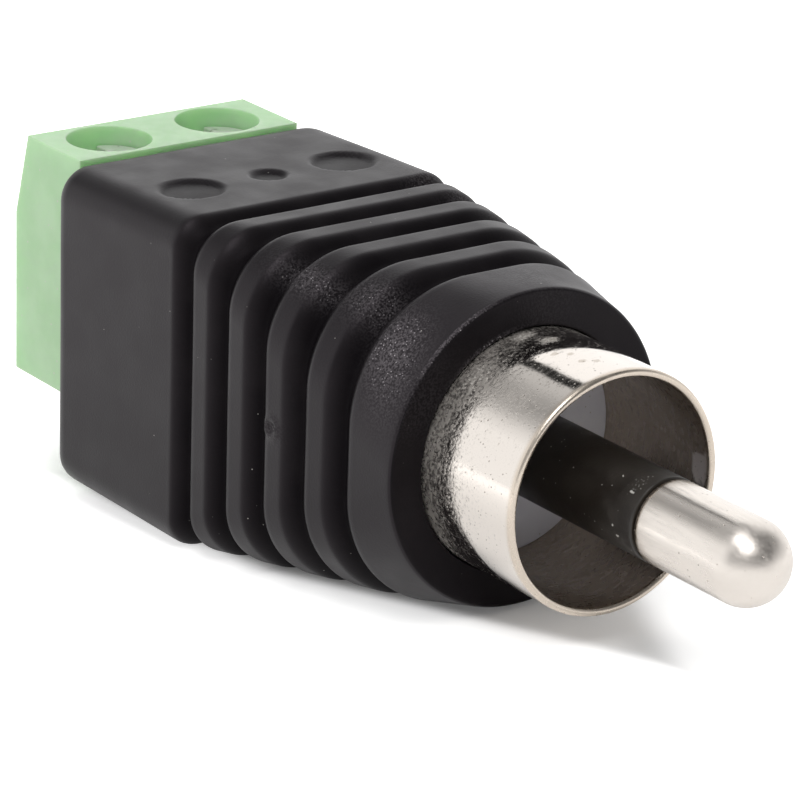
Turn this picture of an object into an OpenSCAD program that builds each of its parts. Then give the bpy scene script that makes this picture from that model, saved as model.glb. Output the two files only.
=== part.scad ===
// Phono plug to two-pole screw terminal adapter.
// +X runs along the plug towards the tip of its pin, +Z is up.
// The origin lies under the middle of the length, on the surface that the housing rests on.

/* [Housing] */
// Length of the moulded housing, from its front face to its rear face
housing_length = 22.3; // [19:0.1:28]
// Width of the plain rear block
housing_width = 12.7; // [12.2:0.1:16]
// Height of the grip's top above the plug's centre line, where the rear block ends
top_height = 5.85; // [5.75:0.05:8]
// Fall of the rear block's top towards its rear end
top_fall = 0.3; // [0:0.05:0.3]
// Height of the plug's centre line above the underside
axis_height = 7.45; // [6.4:0.05:10]
// Length of the plain rear block, behind the first groove
block_length = 8.4; // [7:0.05:11]
// Radius of the rear block's four long edges
block_edge = 1.3; // [0.8:0.1:2]
// Rounding of the rear end's upright edges
rear_round = 0.9; // [0.5:0.1:1.3]
// Rounding of the rear end's top and bottom edges
rear_ease = 0.4; // [0.2:0.05:0.6]

/* [Ribbed grip and nose] */
// Number of grooves around the grip
groove_count = 5; // [3:1:6]
// Width of one groove across its rounded lips
groove_width = 1.5; // [0.8:0.05:1.8]
// Depth of one groove
groove_depth = 0.5; // [0.3:0.05:0.7]
// Length of the smooth nose in front of the last groove
nose_length = 2.6; // [2:0.05:4]
// Radius of the round front face
nose_radius = 6.05; // [5.7:0.05:7]
// Corner radius of the section where the nose begins
nose_corner = 5; // [3.5:0.1:5.5]
// Depth of the underside below the round face, where the nose begins
nose_sag = 0.35; // [0:0.05:0.6]
// Break of the edge around the front face
front_edge = 0.15; // [0.05:0.05:0.4]

/* [Plug] */
// Outside diameter of the shield sleeve
sleeve_diameter = 9.2; // [8.6:0.05:9.8]
// Wall of the shield sleeve
sleeve_wall = 0.3; // [0.2:0.05:0.5]
// Reach of the shield sleeve in front of the housing
sleeve_reach = 5.15; // [4:0.05:8]
// Depth of the sleeve's floor behind the front face
floor_depth = 1.5; // [1.3:0.1:2.5]
// Depth of the grey washer's face behind the front face
washer_depth = 0.85; // [0.4:0.05:0.9]
// Diameter of the insulator's long boss
boss_diameter = 3.2; // [2.9:0.05:3.6]
// Reach of the boss in front of the housing
boss_reach = 8.05; // [6:0.05:10]
// Diameter of the centre pin
pin_diameter = 3.18; // [2.9:0.01:3.3]
// Reach of the pin's tip in front of the housing
pin_reach = 13.9; // [12:0.1:16]
// Diameter of the pin's shank inside the insulator
shank_diameter = 1.6; // [1.2:0.1:2]

/* [Terminal block] */
// Distance between the two poles
pole_pitch = 5.08; // [4.8:0.02:5.12]
// Width of the terminal body
terminal_width = 10.2; // [10.1:0.05:10.7]
// Length of the terminal body that stands behind the housing
terminal_reach = 4.8; // [4.7:0.1:7]
// Height of the terminal body's top above the plug's centre line
terminal_top = 5.6; // [5.4:0.05:7]
// Depth of the terminal body's underside below the plug's centre line
terminal_drop = 4.4; // [4.3:0.05:6]
// Length of the tenon that enters the housing
tenon_length = 3.6; // [3:0.1:5]
// Height of the slanted part of the rear face
slant_height = 3.4; // [2:0.1:4]
// Forward lean of the slanted part at its top
slant_run = 0.9; // [0.4:0.05:1]
// Distance of the screws behind the housing
screw_setback = 1.95; // [1.9:0.01:2]

/* [Clamps] */
// Diameter of the clamping screw's head
head_diameter = 3.2; // [2.8:0.1:3.4]
// Height of the clamping screw's head
head_height = 1.3; // [1:0.1:1.5]
// Depth of the head below the terminal body's top
head_sink = 0.75; // [0.4:0.05:1]
// Outside diameter of the screw's thread
thread_diameter = 2.5; // [2.2:0.1:2.6]
// Travel of the rising cage from open to shut
cage_travel = 1.9; // [1.5:0.05:2]
// Height of the wire gap when the cage is open
wire_gap = 2; // [1.9:0.05:2.2]

/* [Hidden] */
$fn = 64;

// Small overshoot that lets a cut pass cleanly through a face
cut = 0.5;
// Clearance of a pocket around what is pressed into it
pocket_gap = 0.05;
// Clearance of a part that slides
slide_gap = 0.1;
// Radial clearance of the screw in its thread, and of the pin in the insulator
thread_gap = 0.05;

// Whole length, and the front face's place that centres the length on the origin
whole_length = housing_length + terminal_reach + pin_reach;
front_x = whole_length / 2 - pin_reach;
// Places along the plug, measured from the housing's front face
rear_x = -housing_length;
grip_x = rear_x + block_length;
nose_x = -nose_length;
groove_pitch = (nose_x - grip_x - groove_width) / (groove_count - 1);
first_groove = grip_x + groove_width / 2;

// Shares of a groove's half width where the housing's skin has a ring
groove_steps = [-1, -0.62, -0.32, 0, 0.32, 0.62, 1];
// Shares of the way round the rounded rear end where the skin has a ring
rear_steps = [0, 0.35, 0.7, 1];
// Points on each rounded corner of a ring
corner_points = 10;
// Least radius of a ring's corner, and least half length of the flats between corners
least_corner = 0.2;
least_flat = 0.02;
// Fullness of the section where the nose begins, beyond the front face
nose_swell = 0.08;
// Bulge of the grip's sides and top halfway along it
grip_bulge = 0.09;
// Powers that shape the grip's sides and underside between the block and the nose
side_power = 3;
under_power = 0.9;
// How much faster than evenly the corners open at the start of the grip
corner_ease = 0.2;

// Dimples in the housing's top
mark_x = -16.8;
mark_spacing = 3.5;
mark_diameter = 2.7;
centre_mark = 1.6;
mark_depth = 0.15;

// Sleeve and its floor
sleeve_radius = sleeve_diameter / 2;
bore_radius = sleeve_radius - sleeve_wall;
sleeve_floor = 0.3;
sleeve_rim = 0.06;
floor_x = -floor_depth;
// Washer on the sleeve's floor, around the boss
washer_x = -washer_depth;
// Insulator: its spigot goes through the sleeve's floor, and a low collar round its boss centres the washer
spigot_diameter = 4.4;
spigot_length = 2.2;
spigot_x = floor_x - spigot_length;
collar_height = 0.2;
collar_x = floor_x + sleeve_floor + collar_height;
collar_diameter = boss_diameter + 0.3;
// Centre pin: eased back edge, and a shank that ends in a flat behind the insulator
pin_round = 0.2;
shank_tail = 2;
shank_x = spigot_x - shank_tail;
shank_flat = 0.3;
// Ground tag: a ring behind the sleeve's floor, with a tail bent back
tag_thickness = 0.4;
tag_diameter = 7.4;
tag_tail = 3.7;
tag_width = 1.6;
tag_inset = 0.1;
tag_y = tag_inset - tag_diameter / 2;

// Terminal body: its head stands behind the housing, its tenon inside
side_step = 0.2;
top_step = 1.2;
bottom_step = 0.5;
tenon_width = terminal_width - 2 * side_step;
tenon_top = terminal_top - top_step;
tenon_drop = terminal_drop - bottom_step;
terminal_rear = rear_x - terminal_reach;
terminal_front = rear_x + tenon_length;
screw_x = rear_x - screw_setback;
// One pole's chamber and the cage that rises in it
pole_wall = 1.1;
floor_wall = 0.65;
chamber_width = pole_pitch - pole_wall;
chamber_floor = floor_wall - terminal_drop;
cage_width = chamber_width - 2 * slide_gap;
cage_depth = 3.6;
cage_wall = 0.45;
cage_crown = 1.2;
cage_floor = 0.5;
cage_bottom = chamber_floor + slide_gap;
gap_floor = cage_bottom + cage_floor;
chamber_rear = screw_x - cage_depth / 2 - slide_gap;
// Contact tongue above the wire, and what stands over it
tongue_bottom = gap_floor + wire_gap;
tongue_thickness = 0.6;
tongue_top = tongue_bottom + tongue_thickness;
tongue_width = cage_width - 2 * cage_wall - 2 * slide_gap;
tongue_setback = 0.4;
window_top = tongue_top + 2 * slide_gap;
cage_top = window_top + cage_crown;
chamber_top = cage_top + cage_travel + slide_gap;
contact_plate = 0.6;
solder_tail = 2.8;
tail_width = 1.6;
// Screw and the well it stands in
head_top = terminal_top - head_sink;
head_bottom = head_top - head_height;
well_diameter = head_diameter + 2 * slide_gap;
slot_width = 0.7;
slot_depth = 0.65;
// Wire entry: how far its mouth is wider than the wire gap, all round
entry_flare = 0.5;

// Cavity for the leads, between the tenon's pocket and the plug
cavity_top = 2.7;
cavity_bottom = -2.4;
cavity_x = -4.8;
// Leads: a core with bare ends that lie on the solder tails, insulation between
core_diameter = 0.7;
insulation_diameter = 1.4;
insulation_gap = 0.03;
bare_length = 2;
// How far the insulation stops short of a joint's end
bare_margin = 0.3;
lead_sides = 12;
lead_steps = 12;
solder_radius = 0.85;
// Places of the four joints on the shank's flat, the tag's tail and the solder tails
pin_margin = 0.3;
tag_margin = 0.4;
joint_reach = 1.6;
pin_joint = [spigot_x - pin_margin - bare_length / 2, 0, shank_flat + core_diameter / 2];
tag_joint = [floor_x - tag_tail + tag_margin, tag_y + tag_thickness + core_diameter / 2, 0];
plus_joint = [terminal_front + joint_reach, pole_pitch / 2, tongue_top + core_diameter / 2];
minus_joint = [terminal_front + joint_reach, -pole_pitch / 2, tongue_top + core_diameter / 2];

// Moves a piece from the plug's own centre line to its place above the surface
module place() {
    translate([front_x, 0, axis_height]) children();
}

// A round bar along +X from one place to another
module bar(from, to, diameter) {
    translate([from, 0, 0]) rotate([0, 90, 0]) cylinder(h = to - from, d = diameter);
}

// A block given by its two opposite corners
module block(low, high) {
    translate(low) cube(high - low);
}

// Value between a and b
function mix(a, b, t) = a + (b - a) * t;

// How far a place lies along the grip: 0 at the rear block, 1 where the nose begins
function along_grip(x) = max(0, min(1, (x - grip_x) / (nose_x - grip_x)));

// How far a place lies along the nose: 0 where it begins, 1 at the front face
function along_nose(x) = max(0, min(1, (x - nose_x) / nose_length));

// How far a place lies along the rear block: 0 where it ends, 1 at its rear end
function along_block(x) = max(0, min(1, (grip_x - x) / block_length));

// Fullness of the skin at the nose's start, easing to the front face's radius
function nose_size(x) = nose_radius + nose_swell * (1 - along_nose(x));

// Bulge of the skin at x, none at either end of the grip
function bulge(x) = grip_bulge * sin(180 * along_grip(x));

// Half width, top, bottom and corner radius of the housing's outline at x
function half_width(x) = mix(housing_width / 2, nose_size(x), pow(along_grip(x), side_power)) + bulge(x);
function top_edge(x) = mix(top_height, nose_size(x), along_grip(x)) + bulge(x) - top_fall * along_block(x);
function nose_under(x) = nose_size(x) + nose_sag * (1 - along_nose(x));
function bottom_edge(x) = mix(axis_height, nose_under(x), pow(along_grip(x), under_power));
function grip_corner(t) = mix(block_edge, nose_corner, t + corner_ease * t * (1 - t));
function corner(x) = mix(grip_corner(along_grip(x)), nose_size(x), along_nose(x));

// One ring of the skin at x: the outline drawn in by side, top and bottom amounts
function ring(x, side, flat) = [
    for (quarter = [0:3])
        for (i = [0:corner_points - 1])
            let (
                turn = 90 * (quarter + i / (corner_points - 1)),
                r = max(least_corner, corner(x) - min(side, flat)),
                y_sign = (quarter == 0 || quarter == 3) ? 1 : -1,
                z_sign = quarter < 2 ? 1 : -1,
                y_mid = y_sign * max(least_flat, half_width(x) - side - r),
                z_edge = quarter < 2 ? top_edge(x) : bottom_edge(x),
                z_mid = z_sign * max(least_flat, z_edge - flat - r)
            )
            [x, y_mid + r * cos(turn), z_mid + r * sin(turn)]
];

// How far a rounding of radius r has drawn in, a share s of the way round from the end face
function rounding(r, s) = r * (1 - sin(90 * s));
function advance(r, s) = r * (1 - cos(90 * s));

// Rings of the rounded rear end
rear_rings = [
    for (s = rear_steps)
        ring(rear_x + advance(rear_round, s), rounding(rear_round, s), rounding(rear_ease, s))
];

// Depth of a groove at a share s of its half width, with rounded lips and floor
function groove(s) = groove_depth * (1 + cos(180 * s)) / 2;
groove_rings = [
    for (g = [0:groove_count - 1])
        for (s = groove_steps)
            ring(first_groove + g * groove_pitch + s * groove_width / 2, groove(s), groove(s))
];

// Rings of the smooth nose and its broken front edge
nose_rings = [
    ring(nose_x + nose_length / 2, 0, 0),
    ring(-front_edge, 0, 0),
    ring(0, front_edge, front_edge)
];

// A closed skin through a list of rings
module skin(rings) {
    count = len(rings[0]);
    last = len(rings) - 1;
    points = [for (r = rings) for (p = r) p];
    sides = [
        for (r = [0:last - 1])
            for (i = [0:count - 1])
                let (
                    a = r * count + i,
                    b = r * count + (i + 1) % count
                )
                each [[a, b + count, b], [a, a + count, b + count]]
    ];
    back = [for (i = [0:count - 1]) i];
    front = [for (i = [0:count - 1]) last * count + count - 1 - i];
    polyhedron(points = points, faces = concat([back], sides, [front]), convexity = 8);
}

// Moulded housing: a rectangular rear block that flows through a ribbed grip into a round nose.
// It grips the plug at the front and the terminal body's tenon at the rear.
module housing() {
    pocket_half = tenon_width / 2 + pocket_gap;
    pocket_x = terminal_front + pocket_gap;
    color("#1c1c1e") place() difference() {
        skin(concat(rear_rings, groove_rings, nose_rings));
        bar(floor_x, cut, sleeve_diameter + 2 * pocket_gap);
        bar(cavity_x - cut, floor_x + cut, tag_diameter + 4 * pocket_gap);
        rotate([90, 0, 0]) translate([0, 0, -pocket_half]) linear_extrude(height = 2 * pocket_half) polygon([
            [rear_x - cut, -tenon_drop - pocket_gap], [pocket_x, -tenon_drop - pocket_gap],
            [pocket_x, cavity_bottom], [cavity_x, cavity_bottom],
            [cavity_x, cavity_top], [pocket_x, cavity_top],
            [pocket_x, tenon_top + pocket_gap], [rear_x - cut, tenon_top + pocket_gap]
        ]);
        translate([mark_x, 0, top_edge(mark_x) - mark_depth]) {
            for (side = [-1, 1])
                translate([0, side * mark_spacing, 0]) cylinder(h = mark_depth + cut, d = mark_diameter);
            cylinder(h = mark_depth + cut, d = centre_mark);
        }
    }
}

// Thin drawn sleeve with a flat floor, open in front and holed for the insulator's spigot
module shield_sleeve() {
    hole = spigot_diameter / 2 + thread_gap;
    color("#c9c6c0") place() rotate([0, 90, 0]) rotate_extrude($fn = 96) polygon([
        [hole, floor_x],
        [bore_radius, floor_x],
        [sleeve_radius, floor_x + sleeve_wall],
        [sleeve_radius, sleeve_reach - sleeve_rim],
        [sleeve_radius - sleeve_rim, sleeve_reach],
        [bore_radius + sleeve_rim, sleeve_reach],
        [bore_radius, sleeve_reach - sleeve_rim],
        [bore_radius, floor_x + sleeve_floor],
        [hole, floor_x + sleeve_floor]
    ]);
}

// Grey washer that lies on the sleeve's floor and is seen past the boss
module insulating_washer() {
    inner = collar_diameter / 2 + thread_gap;
    outer = bore_radius - pocket_gap;
    color("#8f929c") place() rotate([0, 90, 0]) rotate_extrude($fn = 96)
        translate([inner, floor_x + sleeve_floor]) square([outer - inner, washer_x - floor_x - sleeve_floor]);
}

// Moulded insulator: a long boss with a collar in front, and a thicker spigot behind
module insulator() {
    bore = shank_diameter / 2 + thread_gap;
    color("#171716") place() rotate([0, 90, 0]) rotate_extrude($fn = 96) polygon([
        [bore, spigot_x],
        [spigot_diameter / 2, spigot_x],
        [spigot_diameter / 2, floor_x + sleeve_floor],
        [collar_diameter / 2, floor_x + sleeve_floor],
        [collar_diameter / 2, collar_x],
        [boss_diameter / 2, collar_x],
        [boss_diameter / 2, boss_reach],
        [bore, boss_reach]
    ]);
}

// Turned centre pin: round tip, eased back edge, thin shank and a flat to solder to
module centre_pin() {
    r = pin_diameter / 2;
    color("#d4d0c9") place() difference() {
        rotate([0, 90, 0]) rotate_extrude() difference() {
            union() {
                translate([0, boss_reach + pin_round]) square([r, pin_reach - boss_reach - pin_round - r]);
                translate([0, boss_reach]) square([r - pin_round, pin_round + cut]);
                translate([r - pin_round, boss_reach + pin_round]) circle(r = pin_round);
                translate([0, pin_reach - r]) circle(r = r);
                translate([0, shank_x]) square([shank_diameter / 2, boss_reach - shank_x + cut]);
            }
            translate([-2 * r, shank_x - cut]) square([2 * r, pin_reach - shank_x + 2 * cut]);
        }
        block([shank_x - cut, -r, shank_flat], [spigot_x, r, r]);
    }
}

// Ring that presses on the back of the sleeve's floor, with a tail bent back to solder to
module ground_tag() {
    color("#c8b27a") place() difference() {
        union() {
            bar(floor_x - tag_thickness, floor_x, tag_diameter);
            block([floor_x - tag_tail, tag_y, -tag_width / 2],
                [floor_x, tag_y + tag_thickness, tag_width / 2]);
        }
        bar(floor_x - tag_thickness - cut, floor_x + cut, spigot_diameter + 2 * thread_gap);
    }
}

// Places of a lead's route between two joints: straight along each joint, a smooth bend between
function lead_route(rear, front, length) = concat(
    [[rear[0] - length, rear[1], rear[2]]],
    [
        for (i = [0:lead_steps])
            let (
                t = i / lead_steps,
                s = t * t * (3 - 2 * t),
                half = bare_length / 2 + bare_margin
            )
            [mix(rear[0] + half, front[0] - half, t), mix(rear[1], front[1], s), mix(rear[2], front[2], s)]
    ],
    [[front[0] + length, front[1], front[2]]]
);

// A round strand along a route
module strand(route, diameter) {
    skin([
        for (p = route)
            [for (k = [0:lead_sides - 1]) let (turn = 360 * k / lead_sides, r = diameter / 2)
                [p[0], p[1] + r * cos(turn), p[2] + r * sin(turn)]]
    ]);
}

// Core of a lead, bare along both joints
module core(rear, front) {
    color("#c98a55") place() strand(lead_route(rear, front, bare_length / 2), core_diameter);
}

// Insulation of a lead, between its joints
module insulation(rear, front, shade) {
    route = lead_route(rear, front, 0);
    bent = [for (i = [1:len(route) - 2]) route[i]];
    color(shade) place() difference() {
        strand(bent, insulation_diameter);
        strand(lead_route(rear, front, bare_length / 2), core_diameter + 2 * insulation_gap);
    }
}

module plus_wire() {
    core(plus_joint, pin_joint);
}

module minus_wire() {
    core(minus_joint, tag_joint);
}

module plus_insulation() {
    insulation(plus_joint, pin_joint, "#b3342b");
}

module minus_insulation() {
    insulation(minus_joint, tag_joint, "#222222");
}

// Solder dome around a core that lies on a flat surface below it, left open where the two touch
module solder_dome() {
    base = -core_diameter / 2;
    difference() {
        translate([0, 0, base]) sphere(r = solder_radius);
        block([-solder_radius, -solder_radius, base - solder_radius], [solder_radius, solder_radius, base]);
        bar(-bare_length, bare_length, core_diameter);
        block([-bare_length, base / 2, base - cut], [bare_length, -base / 2, 0]);
    }
}

// A dome on a joint, tipped sideways by lean where the surface stands upright
module solder(joint, lean = 0) {
    color("#b9bcc0") place() translate(joint) rotate([lean, 0, 0]) solder_dome();
}

// Funnel that guides a wire through the rear wall, wider outside than inside.
// Its two outlines are extruded across each other and only their common part is kept.
module wire_entry(y) {
    depth = chamber_rear - terminal_rear + cut;
    wide = tongue_width / 2;
    tall = wire_gap / 2;
    translate([terminal_rear, y, gap_floor + tall]) intersection() {
        funnel(wide, depth, tall + entry_flare);
        rotate([-90, 0, 0]) funnel(tall, depth, wide + entry_flare);
    }
}

// A funnel's outline with its mouth at the rear, extruded up and down by reach
module funnel(half, depth, reach) {
    mouth = half + entry_flare;
    translate([0, 0, -reach]) linear_extrude(height = 2 * reach) polygon([
        [-cut, -mouth], [0, -mouth], [entry_flare, -half], [depth, -half],
        [depth, half], [entry_flare, half], [0, mouth], [-cut, mouth]
    ]);
}

// Green terminal body: a head with a slanted rear face, a tenon in the housing,
// and for each pole a chamber, a screw well and a wire entry
module terminal_body() {
    color("#7fc68b") place() difference() {
        union() {
            rotate([90, 0, 0]) translate([0, 0, -terminal_width / 2])
                linear_extrude(height = terminal_width) polygon([
                    [terminal_rear, -terminal_drop],
                    [rear_x, -terminal_drop],
                    [rear_x, terminal_top],
                    [terminal_rear + slant_run, terminal_top],
                    [terminal_rear, terminal_top - slant_height]
                ]);
            block([rear_x - cut, -tenon_width / 2, -tenon_drop],
                [terminal_front, tenon_width / 2, tenon_top]);
        }
        for (side = [-1, 1]) {
            y = side * pole_pitch / 2;
            block([chamber_rear, y - chamber_width / 2, chamber_floor],
                [terminal_front + cut, y + chamber_width / 2, chamber_top]);
            translate([screw_x, y, head_bottom - thread_gap])
                cylinder(h = terminal_top - head_bottom + cut, d = well_diameter);
            translate([screw_x, y, chamber_top - cut])
                cylinder(h = head_bottom - chamber_top + 2 * cut, d = thread_diameter + 2 * thread_gap);
            wire_entry(y);
        }
    }
}

// Contact of one pole: a tongue over the wire, an upright plate and a solder tail
module contact(y) {
    plate_x = terminal_front - contact_plate;
    plate_half = chamber_width / 2 - pocket_gap;
    color("#c7c3b9") place() translate([0, y, 0]) {
        block([screw_x - cage_depth / 2 + tongue_setback, -tongue_width / 2, tongue_bottom],
            [terminal_front, tongue_width / 2, tongue_top]);
        block([plate_x, -plate_half, chamber_floor], [terminal_front, plate_half, tongue_top]);
        block([plate_x, -tail_width / 2, tongue_bottom],
            [terminal_front + solder_tail, tail_width / 2, tongue_top]);
    }
}

module plus_contact() {
    contact(pole_pitch / 2);
}

module minus_contact() {
    contact(-pole_pitch / 2);
}

// Rising cage of one pole, open for the wire along X and bored for the screw on top
module cage(y) {
    color("#bdb9ae") place() translate([screw_x, y, 0]) difference() {
        block([-cage_depth / 2, -cage_width / 2, cage_bottom],
            [cage_depth / 2, cage_width / 2, cage_top]);
        block([-cage_depth, -cage_width / 2 + cage_wall, gap_floor],
            [cage_depth, cage_width / 2 - cage_wall, window_top]);
        translate([0, 0, window_top - cut])
            cylinder(h = cage_crown + 2 * cut, d = thread_diameter + 2 * thread_gap);
    }
}

module plus_cage() {
    cage(pole_pitch / 2);
}

module minus_cage() {
    cage(-pole_pitch / 2);
}

// Clamping screw of one pole, with a slotted head that bears on the ledge of its well
module screw(y) {
    color("#cfccc5") place() translate([screw_x, y, 0]) difference() {
        union() {
            translate([0, 0, head_bottom]) cylinder(h = head_height, d = head_diameter);
            translate([0, 0, tongue_top + slide_gap])
                cylinder(h = head_bottom - tongue_top, d = thread_diameter);
        }
        block([-head_diameter, -slot_width / 2, head_top - slot_depth],
            [head_diameter, slot_width / 2, head_top + cut]);
    }
}

module plus_screw() {
    screw(pole_pitch / 2);
}

module minus_screw() {
    screw(-pole_pitch / 2);
}

module pin_solder() {
    solder(pin_joint);
}

module tag_solder() {
    solder(tag_joint, -90);
}

module plus_solder() {
    solder(plus_joint);
}

module minus_solder() {
    solder(minus_joint);
}

housing();
shield_sleeve();
insulating_washer();
insulator();
centre_pin();
ground_tag();
terminal_body();
plus_contact();
minus_contact();
plus_cage();
minus_cage();
plus_screw();
minus_screw();
plus_wire();
minus_wire();
plus_insulation();
minus_insulation();
pin_solder();
tag_solder();
plus_solder();
minus_solder();
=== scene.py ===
"""A phono plug to screw terminal adapter, lying on a white table and leaning on its nose.

The sections follow the way the adapter is put together: the green terminal block and its clamps, the
two leads, the plug, and the black housing around them. The table, the light and the camera come last.
Sizes are in millimetres, and a mesh is brought to metres as it is made.
"""
import math

import bmesh
import bpy
import numpy as np
from mathutils import Matrix, Vector


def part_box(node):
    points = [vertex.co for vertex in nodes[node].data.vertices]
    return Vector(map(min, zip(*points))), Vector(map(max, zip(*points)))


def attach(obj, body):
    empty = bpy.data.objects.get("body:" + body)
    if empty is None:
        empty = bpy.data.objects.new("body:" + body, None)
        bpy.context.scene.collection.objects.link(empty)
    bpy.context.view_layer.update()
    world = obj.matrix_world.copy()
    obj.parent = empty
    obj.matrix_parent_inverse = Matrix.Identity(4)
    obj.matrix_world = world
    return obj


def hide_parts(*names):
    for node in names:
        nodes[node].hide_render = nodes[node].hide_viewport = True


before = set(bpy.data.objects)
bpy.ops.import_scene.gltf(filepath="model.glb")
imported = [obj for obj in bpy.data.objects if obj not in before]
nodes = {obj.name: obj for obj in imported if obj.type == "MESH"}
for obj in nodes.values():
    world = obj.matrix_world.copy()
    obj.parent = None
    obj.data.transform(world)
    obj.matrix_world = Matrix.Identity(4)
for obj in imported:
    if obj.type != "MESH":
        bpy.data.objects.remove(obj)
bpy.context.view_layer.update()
mm = 0.001

# Terminal block
# A pale green two-pole moulding, pressed into the housing from behind by its tenon. It is injection
# moulded in one piece, with a well for each screw in its top and a flared wire entry for each pole behind.
green_edge = 0.12
green_fresh = (0.415, 0.650, 0.375, 1)
green_faded = (0.460, 0.690, 0.420, 1)
green_roughness = (0.30, 0.44)
green_relief = 0.004
green_milkiness = 0.6
green_milk_depth = 1.3
green_milk_tone = (0.6, 1.0, 0.5)
pale_dust = (0.62, 0.60, 0.56, 1)
joined_within = 1e-7
flat_angle = 0.5
edge_angle = 40


def put(tree, kind, inputs, **settings):
    """A shader node of one kind. Its inputs are plain values, or outputs of other nodes to link."""
    made = tree.nodes.new("ShaderNode" + kind)
    for name, value in settings.items():
        setattr(made, name, value)
    for name, value in inputs.items():
        if isinstance(value, bpy.types.NodeSocket):
            tree.links.new(value, made.inputs[name])
        else:
            made.inputs[name].default_value = value
    return made


def new_finish(name):
    """An empty finish: the material, its node tree, its shader, and the place on the piece in millimetres."""
    material = bpy.data.materials.new(name)
    material.use_nodes = True
    tree = material.node_tree
    here = put(tree, "TexCoord", {}).outputs["Object"]
    place = put(tree, "VectorMath", {0: here, "Scale": 1 / mm}, operation="SCALE").outputs[0]
    return material, tree, tree.nodes["Principled BSDF"], place


def calc(tree, operation, first, second=0.0):
    """One sum on two values, such as SUBTRACT or MAXIMUM."""
    return put(tree, "Math", {0: first, 1: second}, operation=operation).outputs[0]


def times(tree, first, second):
    """Two values multiplied."""
    return calc(tree, "MULTIPLY", first, second)


def fade(tree, value, start, end, low=0.0, high=1.0):
    """A smooth change from low to high while the value goes from start to end."""
    inputs = {0: value, 1: start, 2: end, 3: low, 4: high}
    return put(tree, "MapRange", inputs, interpolation_type="SMOOTHSTEP").outputs[0]


def grain(tree, place, per_mm, detail=3.0):
    """Cloudy grain around a half, with about per_mm clouds to a millimetre."""
    return put(tree, "TexNoise", {"Vector": place, "Scale": per_mm, "Detail": detail}).outputs[0]


def specks(tree, place, size, portion):
    """Mask of dots of about one size, at most one to a cell of a random pattern, in a portion of cells."""
    size_in_cell, dot_edge, dot_core = 0.4, 0.26, 0.12
    cells = put(tree, "TexVoronoi", {"Vector": place, "Scale": size_in_cell / size})
    chance = put(tree, "SeparateColor", {0: cells.outputs["Color"]}).outputs[0]
    kept = fade(tree, chance, 1 - portion, 1.004 - portion)
    return times(tree, kept, fade(tree, cells.outputs["Distance"], dot_edge, dot_core))


def tint(tree, amount, first, second):
    """The first colour, turned into the second by an amount from 0 to 1."""
    return put(tree, "Mix", {0: amount, 6: first, 7: second}, data_type="RGBA").outputs[2]


def cover(tree, colour, over, mask, most=1.0):
    """The colour with another over it where the mask is set, which hides at most this much of it."""
    return tint(tree, times(tree, mask, most), colour, over)


def mottle(tree, clouds, first, second, start=0.4, end=0.7):
    """The first colour, with soft patches of the second where the clouds are dense."""
    return tint(tree, fade(tree, clouds, start, end), first, second)


def uneven(tree, clouds, roughness):
    """Roughness that goes from the first of a pair to the second as the clouds grow dense."""
    return fade(tree, clouds, 0.3, 0.7, *roughness)


def surface(tree, shader, colour, roughness):
    """Gives the shader its colour and its roughness."""
    tree.links.new(colour, shader.inputs["Base Color"])
    tree.links.new(roughness, shader.inputs["Roughness"])


def emboss(tree, shader, height, depth):
    """Gives the shader a relief of a height from 0 to 1 that is depth millimetres deep."""
    bump = put(tree, "Bump", {"Height": height, "Distance": depth * mm})
    tree.links.new(bump.outputs[0], shader.inputs["Normal"])


def eased(name, source, width, body, material):
    """A copy of a piece of the frame, its triangles joined and its sharp edges rounded over a width."""
    mesh = nodes[source].data.copy()
    mesh.name = name
    if "custom_normal" in mesh.attributes:
        mesh.attributes.remove(mesh.attributes["custom_normal"])
    shell = bmesh.new()
    shell.from_mesh(mesh)
    bmesh.ops.remove_doubles(shell, verts=shell.verts, dist=joined_within)
    within = math.radians(flat_angle)
    bmesh.ops.dissolve_limit(shell, angle_limit=within, verts=shell.verts, edges=shell.edges)
    shell.to_mesh(mesh)
    shell.free()
    mesh.shade_smooth()
    mesh.materials.clear()
    mesh.materials.append(material)
    piece = bpy.data.objects.new(name, mesh)
    bpy.context.scene.collection.objects.link(piece)
    rounding = piece.modifiers.new("rounded edges", "BEVEL")
    rounding.width = width * mm
    rounding.segments = 3
    rounding.limit_method = "ANGLE"
    rounding.angle_limit = math.radians(edge_angle)
    rounding.harden_normals = True
    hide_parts(source)
    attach(piece, body)
    return piece


green, tree, shader, place = new_finish("green moulded plastic")
colour = mottle(tree, grain(tree, place, 0.5), green_fresh, green_faded, 0.35, 0.65)
colour = cover(tree, colour, pale_dust, specks(tree, place, 0.09, 0.05), 0.7)
surface(tree, shader, colour, uneven(tree, grain(tree, place, 2.2), green_roughness))
emboss(tree, shader, grain(tree, place, 11.0, 2.0), green_relief)
shader.inputs["Subsurface Weight"].default_value = green_milkiness
shader.inputs["Subsurface Radius"].default_value = green_milk_tone
shader.inputs["Subsurface Scale"].default_value = green_milk_depth * mm
eased("green_terminal_body", "terminal_body", green_edge, "adapter", green)

# Clamping screws
# Two short slotted screws of zinc-plated steel, turned from bar. Each stands in its well in the green
# body, bears on the ledge there, and draws its cage up as it is turned.
screw_edge = 0.08
zinc = (0.80, 0.80, 0.78, 1)
slot_dirt = (0.16, 0.145, 0.12, 1)
zinc_roughness = (0.30, 0.48)
zinc_relief = 0.003
zinc_metal = 0.65

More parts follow.
